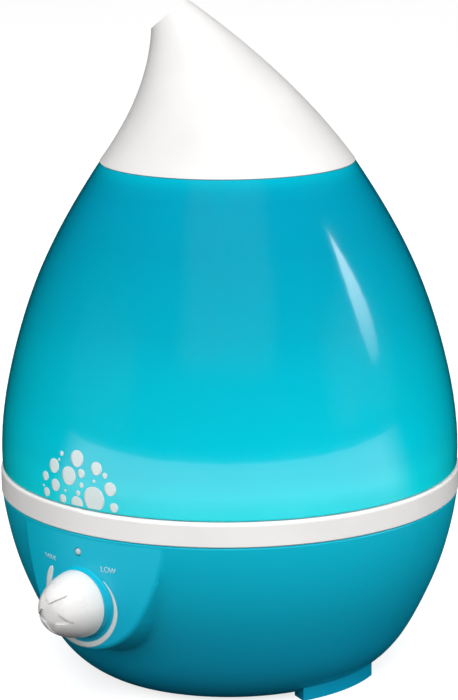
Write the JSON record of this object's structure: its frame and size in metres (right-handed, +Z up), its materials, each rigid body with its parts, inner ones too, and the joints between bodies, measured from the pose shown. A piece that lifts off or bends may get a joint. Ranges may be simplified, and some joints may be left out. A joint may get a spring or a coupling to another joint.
{
  "type": "cool mist humidifier",
  "caption": "Teardrop cool mist humidifier: bowl base with dial, lift-off water tank with chimney, and leaning mist nozzle that turns.",
  "frame": {"origin": "on the table, on the body's vertical axis, at the level of the rubber feet", "axes": "+Z up, -Y towards the front, where the control knob is, +X to the user's right"},
  "size_m": [0.23, 0.2526, 0.3345],
  "materials": {
    "base_teal": "satin teal moulded plastic",
    "tank_teal": "glossy translucent teal moulded plastic",
    "white_plastic": "glossy white moulded plastic",
    "grey_plastic": "matt grey moulded plastic",
    "black_plastic": "matt black moulded plastic",
    "clear_plastic": "clear glossy lens",
    "rubber": "soft grey rubber",
    "silicone": "white silicone",
    "steel": "bright steel",
    "stainless": "stainless steel",
    "ceramic": "glazed ceramic disc",
    "aluminium": "plain aluminium",
    "circuit_board": "green solder mask",
    "transformer_iron": "varnished laminations",
    "copper": "copper lead",
    "wire_insulation": "insulated wire"
  },
  "bodies": {
    "base": {"base_shell": "base_teal", "base_posts": "base_teal", "bottom_cover": "base_teal", "cover_screws": "steel", "rubber_feet": "rubber", "reservoir_basin": "white_plastic", "basin_wall": "white_plastic", "basin_plate": "white_plastic", "well_wall": "white_plastic", "air_spout": "white_plastic", "basin_posts": "white_plastic", "basin_screws": "steel", "transducer_disc": "ceramic", "transducer_seal": "silicone", "transducer_ring": "stainless", "transducer_screws": "steel", "float_clip": "stainless", "reed_switch": "clear_plastic", "fan_housing": "black_plastic", "fan_screws": "steel", "air_duct": "grey_plastic", "driver_board": "circuit_board", "board_screws": "steel", "heat_sink": "aluminium", "capacitors": "black_plastic", "transformer": "transformer_iron", "cord_gland": "black_plastic", "pot_body": "grey_plastic", "pot_nut": "steel", "indicator_lens": "clear_plastic", "indicator_led": "clear_plastic", "fan_lead": "wire_insulation", "transducer_lead": "wire_insulation", "dial_lead": "wire_insulation"},
    "knob": {"control_knob": "white_plastic", "pot_shaft": "grey_plastic"},
    "fan_rotor": {"fan_rotor": "black_plastic"},
    "float": {"float_body": "white_plastic", "float_magnet": "black_plastic"},
    "tank": {"tank_shell": "tank_teal", "tank_deck": "tank_teal", "tank_floor": "white_plastic", "mist_chimney": "tank_teal"},
    "fill_cap": {"fill_cap": "white_plastic", "cap_seal": "silicone", "valve_spring": "stainless"},
    "valve": {"valve_plunger": "white_plastic", "valve_seal": "silicone"},
    "nozzle_seal": {"nozzle_seal": "silicone"},
    "nozzle": {"nozzle_shell": "white_plastic", "nozzle_baffle": "white_plastic"}
  },
  "joints": [
    {"name": "knob_turn", "type": "hinge", "parent": "base", "child": "knob", "pos_m": [0, -0.13, 0.0585], "axis": [0, -1, 0], "range_deg": [-300, 0]},
    {"name": "fan_spin", "type": "hinge", "parent": "base", "child": "fan_rotor", "pos_m": [0, 0.034, 0.02], "axis": [0, 0, 1], "continuous": true},
    {"name": "float_travel", "type": "slide", "parent": "base", "child": "float", "axis": [0, 0, 1], "range_m": [0, 0.008]},
    {"name": "tank_lift", "type": "slide", "parent": "base", "child": "tank", "axis": [0, 0, 1], "range_m": [0, 0.12]},
    {"name": "fill_cap_turn", "type": "hinge", "parent": "tank", "child": "fill_cap", "pos_m": [-0.058, 0, 0.09], "axis": [0, 0, 1], "range_deg": [0, 90]},
    {"name": "valve_stroke", "type": "slide", "parent": "fill_cap", "child": "valve", "axis": [0, 0, 1], "range_m": [-0.004, 0], "deforming": ["valve_spring"]},
    {"name": "nozzle_lift", "type": "slide", "parent": "tank", "child": "nozzle_seal", "axis": [0, 0, 1], "range_m": [0, 0.08]},
    {"name": "nozzle_turn", "type": "hinge", "parent": "nozzle_seal", "child": "nozzle", "pos_m": [0, 0, 0.2566], "axis": [0, 0, 1], "continuous": true}
  ],
  "couplings": [
    {"joint": "valve_stroke", "follows": "tank_lift", "ratio": -0.033333}
  ]
}
